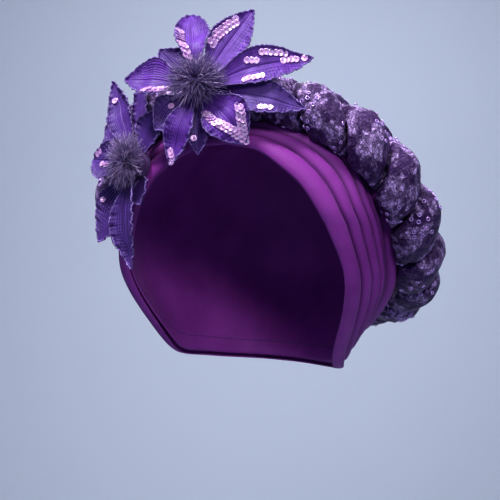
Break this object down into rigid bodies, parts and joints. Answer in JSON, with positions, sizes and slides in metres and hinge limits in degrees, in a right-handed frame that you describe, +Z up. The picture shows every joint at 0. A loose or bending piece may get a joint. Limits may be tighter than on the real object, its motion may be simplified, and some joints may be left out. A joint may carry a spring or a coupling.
{
  "type": "tied gele head tie",
  "caption": "Worn head tie: pleated jersey cap with a ring plaited from padded lace strands and two lace flowers with fringed centres.",
  "frame": {"origin": "middle of the head that wears the head tie, at the head's widest level", "axes": "+Z up through the crown, the wearer looks along -Y, the wearer's left is +X"},
  "size_m": [0.2397, 0.2376, 0.2241],
  "materials": {
    "jersey": "matte magenta purple jersey knit",
    "sequin_lace": "dark purple black lace with round sequins",
    "petal_organza": "violet organza with fine ribs, corded edges and sequin chains",
    "backing_felt": "dark felt backing",
    "fringe": "dark green black fringe with light specks"
  },
  "bodies": {
    "root": {"cap": "jersey", "pleat_panel_left": "jersey", "pleat_panel_right": "jersey", "braid_strand_1": "sequin_lace", "braid_strand_2": "sequin_lace", "braid_strand_3": "sequin_lace", "flower_front_petal_1": "petal_organza", "flower_front_petal_2": "petal_organza", "flower_front_petal_3": "petal_organza", "flower_front_petal_4": "petal_organza", "flower_front_petal_5": "petal_organza", "flower_front_petal_6": "petal_organza", "flower_front_petal_7": "petal_organza", "flower_front_petal_8": "petal_organza", "flower_front_petal_9": "petal_organza", "flower_front_petal_10": "petal_organza", "flower_side_petal_1": "petal_organza", "flower_side_petal_2": "petal_organza", "flower_side_petal_3": "petal_organza", "flower_side_petal_4": "petal_organza", "flower_side_petal_5": "petal_organza", "flower_side_petal_6": "petal_organza", "flower_side_petal_7": "petal_organza", "flower_side_petal_8": "petal_organza", "flower_front_base": "backing_felt", "flower_side_base": "backing_felt", "flower_front_centre": "fringe", "flower_side_centre": "fringe"}
  },
  "joints": []
}
